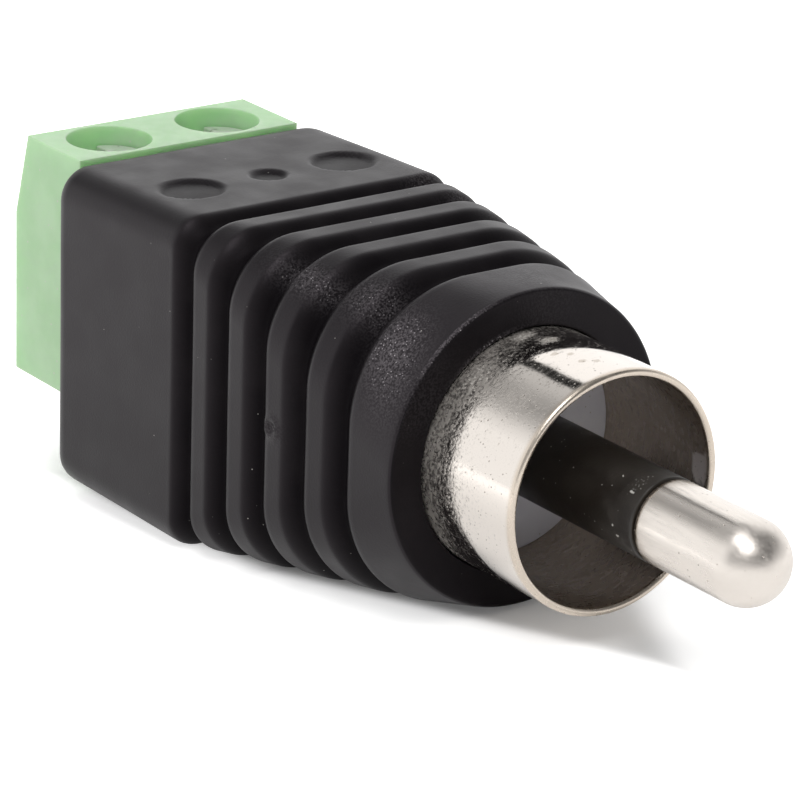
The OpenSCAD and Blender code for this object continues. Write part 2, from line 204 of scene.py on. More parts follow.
plated, tree, shader, place = new_finish("zinc plate")
drawn_out = put(tree, "Mapping", {"Vector": place, "Scale": (1.0, 1.0, 6.0)}).outputs[0]
streaks = grain(tree, drawn_out, 2.4, 4.0)
dirt = fade(tree, grain(tree, place, 1.6, 4.0), 0.60, 0.70)
surface(tree, shader, cover(tree, zinc, slot_dirt, dirt, 0.6), uneven(tree, streaks, zinc_roughness))
emboss(tree, shader, streaks, zinc_relief)
shader.inputs["Metallic"].default_value = zinc_metal
for pole in ("plus", "minus"):
    body = f"{pole}_screw_body"
    eased(f"{pole}_clamping_screw", f"{pole}_screw", screw_edge, body, plated)

# Cages and contacts
# Each pole has a bright cage, folded from tinned steel and open for the wire, that rises on its screw
# and presses the wire up against a fixed tongue of tinned brass. The tongue ends in a solder tail.
cage_edge = 0.06
tongue_edge = 0.04
tin = (0.66, 0.655, 0.64, 1)
dull_tin = (0.40, 0.39, 0.36, 1)
tin_roughness = (0.26, 0.40)
tin_relief = 0.003

tinned, tree, shader, place = new_finish("tinned metal")
colour = mottle(tree, grain(tree, place, 1.9, 4.0), tin, dull_tin, 0.52, 0.68)
surface(tree, shader, colour, uneven(tree, grain(tree, place, 5.0), tin_roughness))
emboss(tree, shader, grain(tree, place, 7.0), tin_relief)
shader.inputs["Metallic"].default_value = 1.0
for pole in ("plus", "minus"):
    body = f"{pole}_cage_body"
    eased(f"{pole}_rising_cage", f"{pole}_cage", cage_edge, body, tinned)
    eased(f"{pole}_tongue", f"{pole}_contact", tongue_edge, "adapter", tinned)

# Leads and solder
# Inside the housing two short leads, one red and one black, join the tongues' tails to the plug's pin
# and ground tag. Their copper ends lie along the metal under a dome of solder.
copper = (0.72, 0.42, 0.26, 1)
brown_copper = (0.36, 0.19, 0.12, 1)
copper_roughness = (0.28, 0.50)
bright_solder = (0.62, 0.63, 0.64, 1)
grey_solder = (0.34, 0.35, 0.36, 1)
solder_roughness = (0.22, 0.55)
coats = {
    "plus_insulation": ((0.42, 0.035, 0.028, 1), (0.30, 0.025, 0.022, 1)),
    "minus_insulation": ((0.022, 0.022, 0.023, 1), (0.045, 0.045, 0.046, 1)),
}
coat_roughness = (0.32, 0.50)
coat_relief = 0.004


def dress(material, *names):
    """Gives pieces of the frame one finish."""
    for name in names:
        nodes[name].data.materials.clear()
        nodes[name].data.materials.append(material)


def metal(name, bright, dull, per_mm, roughness, relief):
    """A bare metal with dull clouds on it, its roughness and its relief going with them."""
    material, tree, shader, place = new_finish(name)
    clouds = grain(tree, place, per_mm, 4.0)
    surface(tree, shader, mottle(tree, clouds, bright, dull), uneven(tree, clouds, roughness))
    emboss(tree, shader, clouds, relief)
    shader.inputs["Metallic"].default_value = 1.0
    return material


strands = metal("copper strands", copper, brown_copper, 3.0, copper_roughness, 0.01)
dress(strands, "plus_wire", "minus_wire")
solder = metal("solder", bright_solder, grey_solder, 4.0, solder_roughness, 0.012)
dress(solder, "pin_solder", "tag_solder", "plus_solder", "minus_solder")
for name, (clean, faded) in coats.items():
    rubber, tree, shader, place = new_finish(name.replace("_", " ") + " coat")
    clouds = grain(tree, place, 1.5)
    surface(tree, shader, mottle(tree, clouds, clean, faded), uneven(tree, clouds, coat_roughness))
    emboss(tree, shader, grain(tree, place, 9.0), coat_relief)
    dress(rubber, name)

# Shield sleeve
# The plug's outer contact: a cup drawn from thin sheet and nickel plated, open in front and holed in
# its floor. It sits in the housing's bore, where dust has gathered round its root.
front_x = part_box("housing")[1].x / mm
axis_z = (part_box("shield_sleeve")[0].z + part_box("shield_sleeve")[1].z) / 2 / mm
sleeve_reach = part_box("shield_sleeve")[1].x / mm - front_x
sleeve_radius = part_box("shield_sleeve")[1].y / mm
sleeve_wall = 0.3
sleeve_back = -1.5
sleeve_floor = 0.3
floor_hole = 2.25
rim_wave = 0.012
wall_wave = 0.0035
turned_columns = 256
crease_angle = 38
nickel = (0.735, 0.685, 0.635, 1)
tarnish = (0.36, 0.30, 0.235, 1)
dust_film = (0.30, 0.275, 0.25, 1)
bared = (0.56, 0.47, 0.37, 1)
light_dust = (0.56, 0.54, 0.50, 1)
sleeve_roughness = (0.05, 0.13)
sleeve_relief = 0.02
root_dust_length, root_dust_strength = 1.1, 0.24
inside_margin = 0.01
# A mark is a place along the plug, a turn in degrees, a length, a spread in degrees and a strength.
sleeve_dust = [(0.9, 132, 1.0, 24, 0.16), (2.8, 130, 2.2, 12, 0.24), (1.8, 178, 1.6, 24, 0.14),
               (0.38, 98, 0.2, 4.5, 0.55), (1.25, 92, 0.24, 4.5, 0.55)]
sleeve_stains = [(2.38, 100, 0.15, 2.1, 1.0), (2.79, 95, 0.15, 2.1, 1.0), (3.54, 96, 0.15, 2.1, 1.0),
                 (3.84, 91, 0.15, 2.1, 1.0), (1.33, 91, 0.15, 2.1, 1.0), (2.2, 182, 2.0, 24, 0.24),
                 (3.0, 140, 2.4, 20, 0.14)]


def skin(name, points, looped, material, source):
    """A piece of the adapter whose skin is a grid of points, rows by columns, in millimetres.

    Each row closes on itself. The last row joins the first if the skin is looped, as on a ring, and
    otherwise both end rows close on a pole at their middle. Walking along the rows with the columns
    turning from +Y to +Z, the material lies on the axis side of a row that runs to +X.
    """
    rows, columns = points.shape[:2]
    number = np.arange(rows * columns).reshape(rows, columns)
    near, far = (number, np.roll(number, -1, 0)) if looped else (number[:-1], number[1:])
    faces = np.stack([near, np.roll(near, -1, 1), np.roll(far, -1, 1), far], -1).reshape(-1, 4).tolist()
    corners = points.reshape(-1, 3)
    if not looped:
        corners = np.vstack([corners, points[0].mean(0), points[-1].mean(0)])
        start = np.full(columns, rows * columns)
        first, last = number[0], number[-1]
        faces += np.stack([start, np.roll(first, -1), first], -1).tolist()
        faces += np.stack([start + 1, last, np.roll(last, -1)], -1).tolist()
    mesh = bpy.data.meshes.new(name)
    mesh.from_pydata((corners * mm).tolist(), [], faces)
    mesh.shade_smooth()
    mesh.set_sharp_from_angle(angle=math.radians(crease_angle))
    mesh.materials.append(material)
    piece = bpy.data.objects.new(name, mesh)
    bpy.context.scene.collection.objects.link(piece)
    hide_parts(source)
    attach(piece, "adapter")
    return piece


def paint(piece, name, values):
    """Stores a value for each point of a piece's skin, for its finish to read. Poles take none."""
    layer = piece.data.attributes.new(name, "FLOAT", "POINT")
    full = np.zeros(len(piece.data.vertices), np.float32)
    full[:values.size] = values.ravel()
    layer.data.foreach_set("value", full)


def painted(tree, name):
    """The value that paint() stored."""
    return put(tree, "Attribute", {}, attribute_name=name).outputs["Fac"]


def plus(tree, first, second):
    """Two values added."""
    return calc(tree, "ADD", first, second)


def line(start, end, steps):
    """Points of a straight stretch of a profile, both ends included."""
    return np.linspace(start, end, steps)


def arc(x, radius, size, start, end, steps=7):
    """Points of a rounded stretch of a profile: a circle about (x, radius), between two angles in degrees."""
    angle = np.radians(np.linspace(start, end, steps))
    return np.stack([x + size * np.cos(angle), radius + size * np.sin(angle)], -1)


def turned(profile):
    """A profile of places along the plug and radii, carried round the plug's centre line.

    Gives the place along, the radius and the turn in radians of every point as three grids. The turn
    is 0 towards +Y and a quarter towards +Z.
    """
    turn = np.linspace(0, 2 * np.pi, turned_columns, endpoint=False)
    along, turn = np.meshgrid(profile[:, 0], turn, indexing="ij")
    radius = np.repeat(profile[:, 1:], turned_columns, 1)
    return along, radius, turn


def about_axis(along, radius, turn):
    """Points at these places along the plug, radii and turns, in the adapter's own frame."""
    return np.stack([front_x + along, radius * np.cos(turn), axis_z + radius * np.sin(turn)], -1)


def share(value, start, end):
    """How far a value lies between start and end, held at 0 and 1 outside them."""
    return np.clip((value - start) / (end - start), 0, 1)


def marks(along, turn, spots):
    """The sum of soft round marks at each point.

    A mark is its strength times e to the power of -(a^2 + b^2), where a is the way from its place
    along the plug over its length, and b the way round from its turn over its spread.
    """
    total = np.zeros(along.shape)
    for x, degrees, length, spread, strength in spots:
        way_round = np.angle(np.exp(1j * (turn - np.radians(degrees))))
        total += strength * np.exp(-((along - x) / length) ** 2 - (way_round / np.radians(spread)) ** 2)
    return total


# The dust is a film that thins out from the root, with crumbs where it is thick. The plating has brown
# spots and pits and is bared on the rim's edge. Inside it is dull and coloured darker, partly tarnish and
# partly painted shade in the cup.
plate, tree, shader, place = new_finish("nickel plate of the sleeve")
dust = painted(tree, "dust")
cut_edge = painted(tree, "edge")
inside = painted(tree, "inside")
round_about = put(tree, "Mapping", {"Vector": place, "Scale": (2.4, 1.0, 1.0)}).outputs[0]
hairs = grain(tree, round_about, 2.4, 5.0)
fine = grain(tree, place, 9.0, 3.0)
blend = plus(tree, times(tree, fine, 0.65), times(tree, hairs, 0.35))
film = fade(tree, plus(tree, dust, blend), 0.56, 1.14)
crumbs = fade(tree, times(tree, dust, fade(tree, fine, 0.42, 0.66)), 0.20, 0.40)
brown = fade(tree, plus(tree, painted(tree, "stain"), times(tree, fine, 0.8)), 0.70, 1.1)
gathered = fade(tree, grain(tree, place, 0.5), 0.42, 0.60)
pits = times(tree, specks(tree, place, 0.06, 0.22), gathered)
# Darker inside the cup: partly tarnish, partly painted shade.
colour = cover(tree, nickel, tarnish, inside, 0.8)
colour = cover(tree, colour, tarnish, pits, 0.6)
colour = cover(tree, colour, tarnish, brown, 0.55)
colour = cover(tree, colour, bared, cut_edge, 0.6)
colour = cover(tree, colour, dust_film, film, 0.8)
colour = cover(tree, colour, light_dust, crumbs, 0.75)
dull = calc(tree, "MAXIMUM", times(tree, film, 0.7), crumbs)
tree.links.new(calc(tree, "SUBTRACT", 1.0, dull), shader.inputs["Metallic"])
roughness = plus(tree, fade(tree, hairs, 0.3, 0.75, *sleeve_roughness), times(tree, dust, 0.28))
roughness = plus(tree, roughness, times(tree, calc(tree, "MAXIMUM", cut_edge, inside), 0.2))
surface(tree, shader, colour, plus(tree, roughness, times(tree, dull, 0.5)))
emboss(tree, shader, plus(tree, times(tree, dull, fine), times(tree, pits, -0.4)), sleeve_relief)

inner_radius = sleeve_radius - sleeve_wall
rim_radius = sleeve_wall / 2
rim_centre = sleeve_reach - rim_radius
floor_front = sleeve_back + sleeve_floor
profile = np.vstack([
    line((sleeve_back, floor_hole), (sleeve_back, inner_radius), 8)[:-1],
    arc(floor_front, inner_radius, sleeve_floor, 180, 90),
    line((floor_front, sleeve_radius), (rim_centre, sleeve_radius), 64)[1:-1],
    arc(rim_centre, sleeve_radius - rim_radius, rim_radius, 90, -90, 13),
    line((rim_centre, inner_radius), (floor_front, inner_radius), 56)[1:],
    line((floor_front, inner_radius), (floor_front, floor_hole), 8)[1:],
    line((floor_front, floor_hole), (sleeve_back, floor_hole), 4)[1:-1],
])
along, radius, turn = turned(profile)
near_rim = np.clip(along / sleeve_reach, 0, 1) ** 2
radius = radius + rim_wave * near_rim * (np.sin(2 * turn + 0.7) + 0.5 * np.sin(5 * turn + 2.0))
radius = radius + wall_wave * np.sin(3 * turn + 1.3 * along) * np.cos(1.9 * along + 0.6)
sleeve = skin("drawn_sleeve", about_axis(along, radius, turn), True, plate, "shield_sleeve")
near_root = np.exp(-(np.clip(along, 0, None) / root_dust_length) ** 2)
ragged = np.sin(2 * turn + 0.4) + np.sin(7 * turn + 1.0)
root_dust = near_root * (root_dust_strength + 0.05 * ragged)
outside = radius > sleeve_radius - sleeve_wall / 3
paint(sleeve, "dust", (root_dust + marks(along, turn, sleeve_dust)) * outside)
paint(sleeve, "stain", marks(along, turn, sleeve_stains) * outside)
# The inside wall is marked for dullness and darker colour: tarnish, and painted shade in the cup.
within = (radius < inner_radius + inside_margin) & (along < rim_centre + inside_margin)
paint(sleeve, "inside", within)
paint(sleeve, "edge", share(along, sleeve_reach - 2 * rim_radius, rim_centre))

# Washer
# A blue-grey plastic ring that lies on the sleeve's floor and keeps the boss in its middle. It was
# moulded, slid over the boss's collar, and is seen past the boss inside the sleeve.
washer_back = -1.2
washer_front = -0.85
washer_outer = 4.298
washer_inner = 1.8
washer_ease = 0.02
blue_grey = (0.80, 0.80, 0.88, 1)
dusty_blue = (0.84, 0.84, 0.90, 1)
washer_roughness = (0.28, 0.42)
washer_relief = 0.003

ring, tree, shader, place = new_finish("blue-grey plastic")
clouds = grain(tree, place, 0.9)
colour = mottle(tree, clouds, blue_grey, dusty_blue)
colour = cover(tree, colour, light_dust, specks(tree, place, 0.07, 0.05))
surface(tree, shader, colour, uneven(tree, clouds, washer_roughness))
emboss(tree, shader, grain(tree, place, 9.0), washer_relief)
eased_front = washer_front - washer_ease
profile = np.vstack([
    line((washer_back, washer_inner), (washer_back, washer_outer), 6)[:-1],
    line((washer_back, washer_outer), (eased_front, washer_outer), 4),
    arc(eased_front, washer_outer - washer_ease, washer_ease, 90, 0, 4)[1:],
    line((washer_front, washer_outer - washer_ease), (washer_front, washer_inner + washer_ease), 8)[1:],
    arc(eased_front, washer_inner + washer_ease, washer_ease, 0, -90, 4)[1:],
    line((eased_front, washer_inner), (washer_back, washer_inner), 4)[1:-1],
])
skin("blue_grey_washer", about_axis(*turned(profile)), True, ring, "insulating_washer")

# Insulator
# The black core of the plug, moulded with a bore for the pin. Its spigot goes through the sleeve's
# floor, and its long boss holds the pin off the sleeve and carries a little dust.
spigot_back = -3.7
spigot_radius = 2.2
collar_front = -1.0
collar_radius = 1.75
boss_radius = 1.6
boss_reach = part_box("insulator")[1].x / mm - front_x
boss_ease = 0.06
bore_radius = 0.85
boss_black = (0.0125, 0.0092, 0.0068, 1)
boss_worn = (0.021, 0.0165, 0.0125, 1)
boss_roughness = (0.34, 0.50)
boss_relief = 0.005
boss_dust = [(7.45, 136, 0.06, 2.2, 0.6), (6.6, 122, 0.06, 2.2, 0.6), (5.68, -168, 0.06, 2.2, 0.6),
             (7.26, -161, 0.06, 2.2, 0.6), (7.05, -174, 0.06, 2.2, 0.6), (7.5, 125, 0.6, 28, 0.3),
             (7.2, -165, 0.8, 20, 0.2)]

core, tree, shader, place = new_finish("black insulator")
clouds = grain(tree, place, 0.8)
clinging = fade(tree, plus(tree, painted(tree, "dust"), grain(tree, place, 11.0)), 0.86, 1.02)
lint = calc(tree, "MAXIMUM", specks(tree, place, 0.045, 0.04), clinging)
colour = cover(tree, mottle(tree, clouds, boss_black, boss_worn), light_dust, lint, 0.8)
surface(tree, shader, colour, uneven(tree, clouds, boss_roughness))
emboss(tree, shader, grain(tree, place, 8.0), boss_relief)
profile = np.vstack([
    line((spigot_back, bore_radius), (spigot_back, spigot_radius), 4)[:-1],
    line((spigot_back, spigot_radius), (washer_back, spigot_radius), 8),
    line((washer_back, spigot_radius), (washer_back, collar_radius), 3)[1:],
    line((washer_back, collar_radius), (collar_front, collar_radius), 3)[1:],
    line((collar_front, collar_radius), (collar_front, boss_radius), 3)[1:],
    line((collar_front, boss_radius), (boss_reach - boss_ease, boss_radius), 96)[1:],
    arc(boss_reach - boss_ease, boss_radius - boss_ease, boss_ease, 90, 0, 5)[1:],
    line((boss_reach, boss_radius - boss_ease), (boss_reach, bore_radius), 4)[1:],
    line((boss_reach, bore_radius), (spigot_back, bore_radius), 24)[1:-1],
])
along, radius, turn = turned(profile)
boss = skin("black_core", about_axis(along, radius, turn), True, core, "insulator")
paint(boss, "dust", np.clip(marks(along, turn, boss_dust), 0, 1))

# Centre pin
# The plug's inner contact, turned from brass and nickel plated: a round-nosed body with an eased back
# edge, and behind it a thin shank with a flat for solder, pressed through the insulator.
pin_radius = 1.59
pin_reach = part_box("centre_pin")[1].x / mm - front_x
pin_ease = 0.25
shank_radius = 0.8
shank_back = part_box("centre_pin")[0].x / mm - front_x
shank_centre = 0.2
shank_flat = 0.3
flat_step = 0.01
bared_from, bared_full = 0.06, -0.02
tip_from, tip_full = -0.8, 0.6
pin_roughness = (0.17, 0.30)
tip_roughness = 0.14
pin_relief = 0.01

pin_plate, tree, shader, place = new_finish("nickel plate of the pin")
combed = put(tree, "Mapping", {"Vector": place, "Scale": (0.5, 4.0, 4.0)}).outputs[0]
streaks = grain(tree, combed, 2.0, 4.0)
pits = specks(tree, place, 0.06, 0.05)
colour = cover(tree, nickel, bared, painted(tree, "edge"), 0.7)
colour = cover(tree, colour, tarnish, pits, 0.6)
on_tip = times(tree, painted(tree, "tip"), tip_roughness)
surface(tree, shader, colour, plus(tree, fade(tree, streaks, 0.3, 0.75, *pin_roughness), on_tip))
emboss(tree, shader, calc(tree, "SUBTRACT", 1.0, pits), pin_relief)
shader.inputs["Metallic"].default_value = 1.0
nose_centre = pin_reach - pin_radius
pin_back = boss_reach + pin_ease
profile = np.vstack([
    line((shank_back, shank_centre), (shank_back, shank_radius), 4)[:-1],
    line((shank_back, shank_radius), (spigot_back - flat_step, shank_radius), 6),
    line((spigot_back + flat_step, shank_radius), (boss_reach, shank_radius), 10),
    line((boss_reach, shank_radius), (boss_reach, pin_radius - pin_ease), 4)[1:],
    arc(pin_back, pin_radius - pin_ease, pin_ease, 180, 90, 9)[1:],
    line((pin_back, pin_radius), (nose_centre, pin_radius), 40)[1:],
    arc(nose_centre, 0, pin_radius, 90, 2, 48)[1:],
])
along, radius, turn = turned(profile)
points = about_axis(along, radius, turn)
soldered = points[..., 0] < front_x + spigot_back
points[..., 2] = np.where(soldered, np.minimum(points[..., 2], axis_z + shank_flat), points[..., 2])
pin = skin("plated_pin", points, False, pin_plate, "centre_pin")
paint(pin, "edge", share(along, pin_back + bared_from, pin_back + bared_full))
paint(pin, "tip", share(along, nose_centre + tip_from, nose_centre + tip_full))

# Ground tag
# A stamped ring of tinned brass that presses on the back of the sleeve's floor, hidden in the
# housing, with a tail bent back for the black lead.
brass = (0.70, 0.60, 0.40, 1)
dull_brass = (0.45, 0.37, 0.24, 1)
brass_roughness = (0.25, 0.45)
dress(metal("stamped brass", brass, dull_brass, 1.4, brass_roughness, 0.004), "ground_tag")

# Housing
# One moulding of black plastic with a fine satin skin, over the terminal block's tenon and the back
# of the plug. A rectangular rear block flows through a ribbed grip into a round nose.
housing_length = 22.3
block_length = 8.4
block_half = 6.35
top_height = 5.85
top_fall = 0.3
underside = axis_z
block_edge = 1.3
least_corner = 0.2
rear_round = 0.9
rear_ease = 0.4
groove_count = 5
groove_width = 1.5
groove_depth = 0.5
groove_shift = 0.14
groove_lead = 0.16
nose_length = 2.6
nose_radius = 6.05
nose_swell = 0.08
nose_sag = 0.35
nose_corner = 5.0
grip_bulge = 0.09
front_edge = 0.15
plug_bore = 4.65
bore_front = -0.3
tag_bore = 3.8
tag_bore_back = -4.8
pocket_half = 4.95
pocket_top, pocket_drop = 4.45, 3.95
pocket_front = -18.65
lead_top, lead_drop = 2.7, 2.4
pocket_corner = 0.3
mouth_ease = 0.08
housing_columns = 384
outer_from = plug_bore + 0.3
top_from = 4.5
dimple_x, dimple_depth, dimple_soft = -16.8, 0.17, 0.22
dimples = [(-3.5, 1.35), (0.0, 0.8), (3.5, 1.35)]
near_side_from = -5
gate_x, gate_z = -6.95, -0.19
gate_ring, gate_ring_width, gate_ring_height = 0.34, 0.13, 0.075
gate_pit_width, gate_pit_depth = 0.2, 0.10
housing_wave, wave_end = 0.010, -0.2
black = (0.0046, 0.0038, 0.0046, 1)
grey_black = (0.0078, 0.0066, 0.0075, 1)
scuffed = (0.105, 0.096, 0.102, 1)
# The colour of the painted glints.
painted_glint_grey = (0.46, 0.43, 0.45, 1)
satin_gloss = 0.275
satin_roughness = (0.36, 0.46)
satin_relief = 0.016
# Painted shade lowers the gloss down in the grooves, on the front face and in the dimples, and a painted
# highlight raises it on the nose's top.
groove_painted_shade, groove_painted_shade_reach = 0.92, 0.55
face_from = -0.03
dimple_painted_shade = 0.6
face_painted_shade = 0.35
nose_top_painted_highlight = 0.35
# Marks of wear, as on the sleeve.
wear = [(-1.7, 138, 0.9, 12, 1.0), (-0.9, 150, 1.0, 14, 0.35), (-3.9, 128, 1.0, 8, 0.6),
        (-7.0, 133, 1.6, 5, 0.7), (-1.2, 82, 1.2, 14, 0.3), (gate_x, 182, 0.5, 5, 0.35),
        (-12.0, 48, 5.0, 6, 0.4), (-17.0, -48, 4.0, 5, 0.3)]
# A lighter scuffed line along the front edge at the upper left, painted as the edge's highlight.
front_edge_highlight = [(0.0, 124, 0.3, 16, 0.9)]
mouth_wear = [(0.0, 115, 0.06, 16, 0.9)]
edge_highlight_width, worn_mouth = 0.09, 0.10

rear_x = -housing_length
grip_x = rear_x + block_length
nose_x = -nose_length


def outline(x):
    """Half width, top, underside and corner radius of the smooth housing at places along it.

    The rear block is a rounded rectangle. Along the grip each measure goes over to the nose's radius:
    the top evenly, the sides by the third power of the way and the underside a little early, with a
    slight bulge halfway. The corners open up to the nose, where the outline becomes a circle.
    """
    grip, nose, block = share(x, grip_x, nose_x), share(x, nose_x, 0), share(x, grip_x, rear_x)
    size = nose_radius + nose_swell * (1 - nose)
    bulge = grip_bulge * np.sin(np.pi * grip)
    half = block_half + (size - block_half) * grip ** 3 + bulge
    top = top_height + (size - top_height) * grip + bulge - top_fall * block
    under = underside + (size + nose_sag * (1 - nose) - underside) * grip ** 0.9
    opened = block_edge + (nose_corner - block_edge) * (grip + 0.2 * grip * (1 - grip))
    return half, top, under, opened + (size - opened) * nose


def drawn_in(x, side, flat, valley=0.0):
    """Rows of the outline drawn in: the sides by one amount, the top and underside by another.

    The last number of a row is how deep it lies in a groove, from 0 to 1.
    """
    half, top, under, corner = outline(x)
    corner = np.maximum(least_corner, corner - np.minimum(side, flat))
    return np.stack([x, half - side, top - flat, under - flat, corner, valley + 0 * x], -1)


def hollow(x_from, x_to, half, top, under, corner, steps=4):
    """Rows of a straight hollow between two places along the housing."""
    x = np.linspace(x_from, x_to, steps)
    return np.stack([x, *(np.full(steps, v) for v in (half, top, under, corner, 0))], -1)


def rings(x, radius):
    """Rows that are circles, at places along the housing and of these radii."""
    return np.stack([x, radius, radius, radius, radius, 0 * radius], -1)


def rounded_rectangle(rows, turn):
    """Points where rays from the plug's centre line, at each turn, cross each row's rounded rectangle.

    A ray of direction d meets the side at half / |d.y| or the top or underside at height / |d.z|,
    whichever is nearer. Where that point lies beyond the start of a corner's rounding, the ray meets
    instead the corner's circle about m, at d.m + sqrt((d.m)^2 - m.m + r^2).
    """
    x, half, top, under, corner = (rows[:, i:i + 1] for i in range(5))
    dy, dz = np.abs(np.cos(turn))[None, :], np.abs(np.sin(turn))[None, :]
    height = np.where(np.sin(turn)[None, :] >= 0, top, under)
    corner = np.minimum(corner, np.minimum(half, height))
    my, mz = half - corner, height - corner
    reach = np.minimum(half / np.maximum(dy, 1e-9), height / np.maximum(dz, 1e-9))
    at_corner = (reach * dy > my) & (reach * dz > mz)
    along_ray = dy * my + dz * mz
    on_circle = along_ray + np.sqrt(np.maximum(along_ray ** 2 - my ** 2 - mz ** 2 + corner ** 2, 0))
    reach = np.where(at_corner, on_circle, reach)
    return np.broadcast_to(x, reach.shape), reach * np.cos(turn), reach * np.sin(turn)


# Scuffs make the satin skin greyer, with glints in them that are painted highlights. The gloss is painted
# too: lowered as painted shade down in the grooves, on the front face and in the dimples, and raised as a
# painted highlight on the nose's top.
moulded, tree, shader, place = new_finish("black moulded plastic")
scuff_and_glint = painted(tree, "scuff_and_glint")
clouds = grain(tree, place, 0.45, 4.0)
fine = grain(tree, place, 12.0, 3.0)
rubbed = times(tree, scuff_and_glint, fade(tree, fine, 0.40, 0.62))
# Glints are painted highlights: bright specks of colour where the skin is scuffed.
painted_glints = times(tree, specks(tree, place, 0.05, 0.65), fade(tree, scuff_and_glint, 0.1, 0.9))
colour = mottle(tree, clouds, black, grey_black)
colour = cover(tree, colour, scuffed, rubbed, 0.9)
colour = cover(tree, colour, painted_glint_grey, painted_glints, 0.8)
colour = cover(tree, colour, light_dust, specks(tree, place, 0.05, 0.004), 0.8)
surface(tree, shader, colour, plus(tree, uneven(tree, clouds, satin_roughness), times(tree, scuff_and_glint, 0.06)))
# The gloss carries painted shade and a painted highlight.
gloss_with_painted_light = times(tree, painted(tree, "painted_light_gloss"), satin_gloss)
tree.links.new(gloss_with_painted_light, shader.inputs["Specular IOR Level"])
relief = times(tree, fine, plus(tree, 0.35, times(tree, scuff_and_glint, 1.3)))
emboss(tree, shader, relief, satin_relief)
shader.inputs["Specular Tint"].default_value = (1.0, 0.89, 0.97, 1)

# The rows run from the rear face over the block, the ribs and the nose to the mouth, and back inside.
quarter = np.linspace(0, np.pi / 2, 9)
rise, fall = 1 - np.cos(quarter), 1 - np.sin(quarter)
pitch = (nose_x - grip_x - groove_width) / (groove_count - 1)
across = np.linspace(-1, 1, 19)
half_groove = groove_width / 2 + groove_lead * (across > 0)
valley = (1 + np.cos(np.pi * across)) / 2
drawn = groove_depth * valley
groove_from = grip_x + groove_width / 2 + groove_shift
rib_from = grip_x + groove_width + groove_shift + groove_lead
rib_steps = np.linspace(0, pitch - groove_width - groove_lead, 8)[1:-1]
grip_rows = []
for number in range(groove_count):
    grip_rows.append(drawn_in(groove_from + number * pitch + across * half_groove, drawn, drawn, valley))
    if number < groove_count - 1:
        grip_rows.append(drawn_in(rib_from + number * pitch + rib_steps, 0, 0))
face = np.linspace(nose_radius - front_edge, plug_bore + mouth_ease, 8)[1:]
rows = np.vstack([
    drawn_in(rear_x + rear_round * rise, rear_round * fall, rear_ease * fall),
    drawn_in(np.linspace(rear_x + rear_round, grip_x + groove_shift, 64)[1:-1], 0, 0),
    *grip_rows,
    drawn_in(np.linspace(nose_x + groove_shift + groove_lead, -front_edge, 16)[1:-1], 0, 0),
    drawn_in(-front_edge * fall, front_edge * rise, front_edge * rise),
    rings(0 * face, face),
    rings(-mouth_ease * rise[1:], plug_bore + mouth_ease * fall[1:]),
    hollow(bore_front, sleeve_back, plug_bore, plug_bore, plug_bore, plug_bore),
    hollow(sleeve_back, tag_bore_back, tag_bore, tag_bore, tag_bore, tag_bore),
    hollow(tag_bore_back, pocket_front, pocket_half, lead_top, lead_drop, pocket_corner, 8),
    hollow(pocket_front, rear_x, pocket_half, pocket_top, pocket_drop, pocket_corner),
])
turn = np.linspace(0, 2 * np.pi, housing_columns, endpoint=False)
x, y, z = rounded_rectangle(rows, turn)
off_axis = np.hypot(y, z)
outside = off_axis > outer_from
dimpled = sum(share(np.hypot(x - dimple_x, y - middle), radius, radius - dimple_soft)
              for middle, radius in dimples) * (outside & (z > top_from))
off_gate = np.hypot(x - gate_x, z - gate_z)
lip = gate_ring_height * np.exp(-((off_gate - gate_ring) / gate_ring_width) ** 2)
lip = (lip - gate_pit_depth * np.exp(-(off_gate / gate_pit_width) ** 2)) * (outside & (y < near_side_from))
long_wave = np.sin(0.55 * x + 2 * turn) * np.cos(0.31 * x + 3 * turn + 0.5)
scale = 1 + housing_wave * long_wave * outside * (x < wave_end) / off_axis
points = np.stack([
    front_x + x,
    y * scale - lip,
    axis_z + z * np.where(z > 0, scale, 1) - dimple_depth * dimpled,
], -1)
housing = skin("black_housing", points, True, moulded, "housing")
grid_turn = np.broadcast_to(turn, x.shape)
on_front_edge = (off_axis > nose_radius - edge_highlight_width) & (x > -front_edge)
on_mouth = off_axis < plug_bore + worn_mouth
# Wear marks, with the front edge's painted highlight line, make the scuff marks that also carry the painted
# glints.
worn_and_highlit = marks(x, grid_turn, wear) + marks(x, grid_turn, front_edge_highlight) * on_front_edge
worn_and_highlit += marks(x, grid_turn, mouth_wear) * on_mouth
paint(housing, "scuff_and_glint", np.clip(worn_and_highlit * (off_axis > plug_bore), 0, 1))
# The gloss is painted: painted shade in the grooves, on the front face and in the dimples, and a painted
# highlight on the nose's top.
painted_light_gloss = 1 - groove_painted_shade * rows[:, 5:6] ** groove_painted_shade_reach
painted_light_gloss = painted_light_gloss * np.where(x > face_from, face_painted_shade, 1.0)
nose_top = share(x, nose_x, nose_x + 0.5) * share(z, 0, 5)
paint(housing, "painted_light_gloss", painted_light_gloss * (1 + nose_top_painted_highlight * nose_top) * (1 - dimple_painted_shade * dimpled))

# Table
# A white sheet that the adapter lies on. The adapter leans on the low point of its nose and on the
# front end of its rear block's underside, so the sheet rises a little towards the plug.
heel_x = (front_x + grip_x) * mm
toe_x = (front_x + nose_x) * mm
toe_z = (axis_z - nose_radius - nose_swell - nose_sag) * mm
table_half = 2.0
white_paper = (0.88, 0.875, 0.87, 1)
paper_roughness = 0.85
paper_gloss = 0.2
shade_lift, clear_lift, afar_lift, mirrored_lift = 0.09, 0.62, 0.38, 0.36
near_slope, near_start, near_limit, near_blur = 0.3, 3.85, -4.7, 0.9
far_slope, far_from, far_full, far_blur = 0.55, 7.2, 10.4, 8.0
around_from, around_full, afar_from, afar_full = 9.0, 15.0, 18.0, 70.0

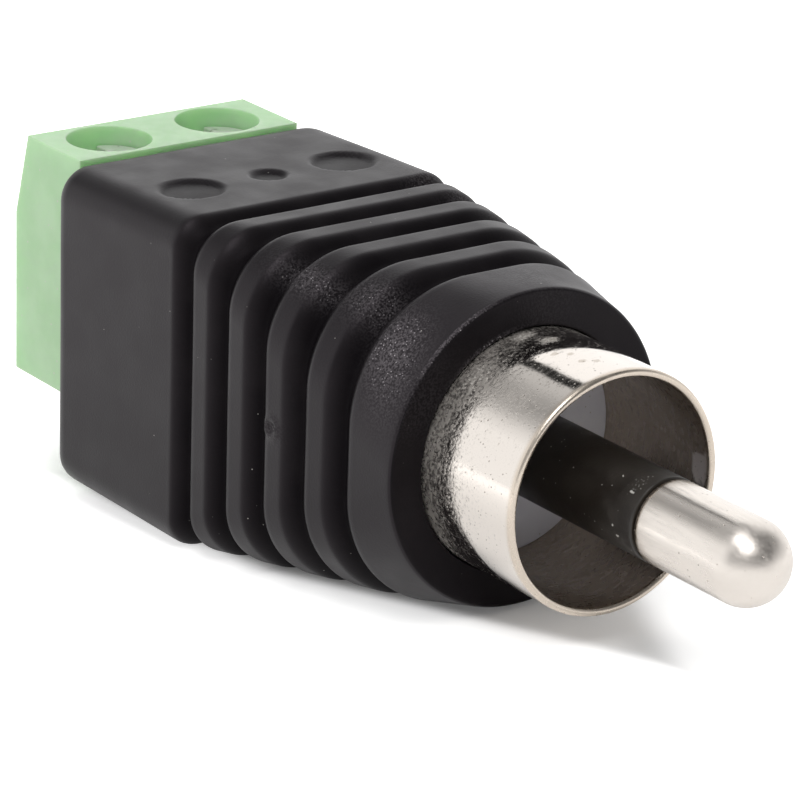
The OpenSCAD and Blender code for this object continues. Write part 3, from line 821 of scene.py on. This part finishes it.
slope = toe_z / (toe_x - heel_x)
corners = [(side_x * table_half, side_y * table_half, slope * (side_x * table_half - heel_x))
           for side_x, side_y in ((-1, -1), (1, -1), (1, 1), (-1, 1))]
table_mesh = bpy.data.meshes.new("table")
table_mesh.from_pydata(corners, [], [(0, 1, 2, 3)])
table = bpy.data.objects.new("table", table_mesh)
bpy.context.scene.collection.objects.link(table)

# The sheet is lifted to white where it is seen. Near the adapter it is lifted less between a near and a
# far line that run beside it, so that its shadow stays there. That lower lift by place is painted shadow,
# both in the sheet as it is seen and in the sheet as the metal mirrors it.
paper, tree, shader, place = new_finish("white paper")
shader.inputs["Base Color"].default_value = white_paper
shader.inputs["Roughness"].default_value = paper_roughness
shader.inputs["Specular IOR Level"].default_value = paper_gloss
rays = put(tree, "LightPath", {}).outputs
spot = put(tree, "SeparateXYZ", {0: place}).outputs
near_line = calc(tree, "SUBTRACT", times(tree, spot["X"], near_slope), near_start)
near_line = calc(tree, "MAXIMUM", near_line, near_limit)
near_side = fade(tree, calc(tree, "SUBTRACT", near_line, spot["Y"]), -near_blur, near_blur)
far_line = plus(tree, times(tree, spot["X"], far_slope), spot["Y"])
far_side = fade(tree, far_line, far_from, far_full)
far_side = times(tree, far_side, fade(tree, spot["X"], -far_blur, far_blur))
squeezed = put(tree, "VectorMath", {0: place, 1: (0.6, 1.0, 0.0)}, operation="MULTIPLY").outputs[0]
from_middle = {0: squeezed, 1: (-1.2, 1.0, 0.0)}
away_from_it = put(tree, "VectorMath", from_middle, operation="DISTANCE").outputs["Value"]
clear = calc(tree, "MAXIMUM", near_side, far_side)
clear = calc(tree, "MAXIMUM", clear, fade(tree, away_from_it, around_from, around_full))
afar = times(tree, fade(tree, away_from_it, afar_from, afar_full), afar_lift)
seen = plus(tree, fade(tree, clear, 0.0, 1.0, shade_lift, clear_lift), afar)
seen = times(tree, rays["Is Camera Ray"], seen)
mirrored = calc(tree, "MAXIMUM", rays["Is Glossy Ray"], rays["Is Transmission Ray"])
mirrored = times(tree, mirrored, plus(tree, times(tree, clear, mirrored_lift), afar))
tree.links.new(plus(tree, seen, mirrored), shader.inputs["Emission Strength"])
shader.inputs["Emission Color"].default_value = (1, 1, 1, 1)
table_mesh.materials.append(paper)

# Light
# A white studio sweep behind and to both sides, dim towards the camera and overhead, with a dark seam
# high on the far side. A soft lamp stands almost straight above, and a stronger one in front makes
# the shadow.
peak = 1.5
# The sweep's brightness by degrees of turn about the plug, behind the adapter and in front of it.
rear_glow = [(0, 1.2), (14, 1.32), (62, 1.32), (67, 1.25), (69, 0.03), (78, 0.03), (80, 0.70), (90, 0.65),
             (99, 0.50), (111, 0.37), (123, 0.55), (136, 0.95), (148, 1.18), (160, 1.18), (180, 1.20)]
front_glow = [(0, 1.0), (15, 0.85), (30, 0.34), (42, 0.17), (60, 0.16), (75, 0.22), (123, 0.30), (150, 0.36),
              (165, 0.50), (180, 0.85)]
rear_until, front_from = -0.30, 0.22
lamp_distance = 0.35
# A lamp is its name, the way to it, its width in metres and its power in watts.
lamps = [("soft lamp", (0.03, -0.31, 0.95), 0.16, 0.22), ("hard lamp", (0.45, -0.34, 0.83), 0.15, 0.33)]


def glow(tree, turn, stops):
    """Brightness by the turn about the plug, in half turns from +Y over the top to -Y."""
    band = put(tree, "ValToRGB", {0: turn})
    ramp = band.color_ramp.elements
    while len(ramp) < len(stops):
        ramp.new(0.5)
    for mark, (degrees, _) in zip(ramp, stops):
        mark.position = degrees / 180
    for mark, (_, level) in zip(ramp, stops):
        mark.color = (level / peak, level / peak, level / peak, 1)
    return band.outputs[0]


world = bpy.data.worlds.new("studio")
bpy.context.scene.world = world
world.use_nodes = True
tree = world.node_tree
look = put(tree, "SeparateXYZ", {0: put(tree, "TexCoord", {}).outputs["Generated"]}).outputs
half_turns = calc(tree, "DIVIDE", calc(tree, "ARCTAN2", look["Z"], look["Y"]), math.pi)
forward = fade(tree, look["X"], rear_until, front_from)
studio = tint(tree, forward, glow(tree, half_turns, rear_glow), glow(tree, half_turns, front_glow))
straight_on = put(tree, "LightPath", {}).outputs["Is Camera Ray"]
backdrop = tree.nodes["Background"].inputs
tree.links.new(tint(tree, straight_on, studio, (1 / peak, 1 / peak, 1 / peak, 1)), backdrop["Color"])
backdrop["Strength"].default_value = peak

for name, way, width, power in lamps:
    lamp_data = bpy.data.lights.new(name, "AREA")
    lamp_data.shape = "DISK"
    lamp_data.size = width
    lamp_data.energy = power
    lamp = bpy.data.objects.new(name, lamp_data)
    lamp_way = Vector(way).normalized()
    lamp.location = lamp_way * lamp_distance
    lamp.rotation_euler = lamp_way.to_track_quat("Z", "Y").to_euler()
    bpy.context.scene.collection.objects.link(lamp)

# Camera
# It stands in front of the plug, to its right and a little above it, at arm's length, with the long
# lens that the picture's slight convergence asks for.
camera_place = (0.123157, -0.091244, 0.064211)
yaw, pitch_down, roll = math.radians(53.67), math.radians(20.13), math.radians(1.9)
picture_width = 800
lens_pixels = 4403.9
sensor_width = 36
shift_right, shift_up = -0.00625, -0.02625
nearest, farthest = 0.01, 10

camera_data = bpy.data.cameras.new("camera")
camera = bpy.data.objects.new("camera", camera_data)
bpy.context.scene.collection.objects.link(camera)
bpy.context.scene.camera = camera
camera_data.sensor_width = sensor_width
camera_data.lens = sensor_width * lens_pixels / picture_width
camera_data.shift_x = shift_right
camera_data.shift_y = shift_up
camera_data.clip_start, camera_data.clip_end = nearest, farthest
level = math.cos(pitch_down)
away = Vector((math.sin(yaw) * level, -math.cos(yaw) * level, math.sin(pitch_down)))
level_right = (-away).cross(Vector((0, 0, 1))).normalized()
level_up = level_right.cross(-away)
right = level_right * math.cos(roll) + level_up * math.sin(roll)
up = level_up * math.cos(roll) - level_right * math.sin(roll)
camera.matrix_world = Matrix([*zip(right, up, away, camera_place), (0, 0, 0, 1)])

view = bpy.context.scene.view_settings
view.view_transform = "Standard"
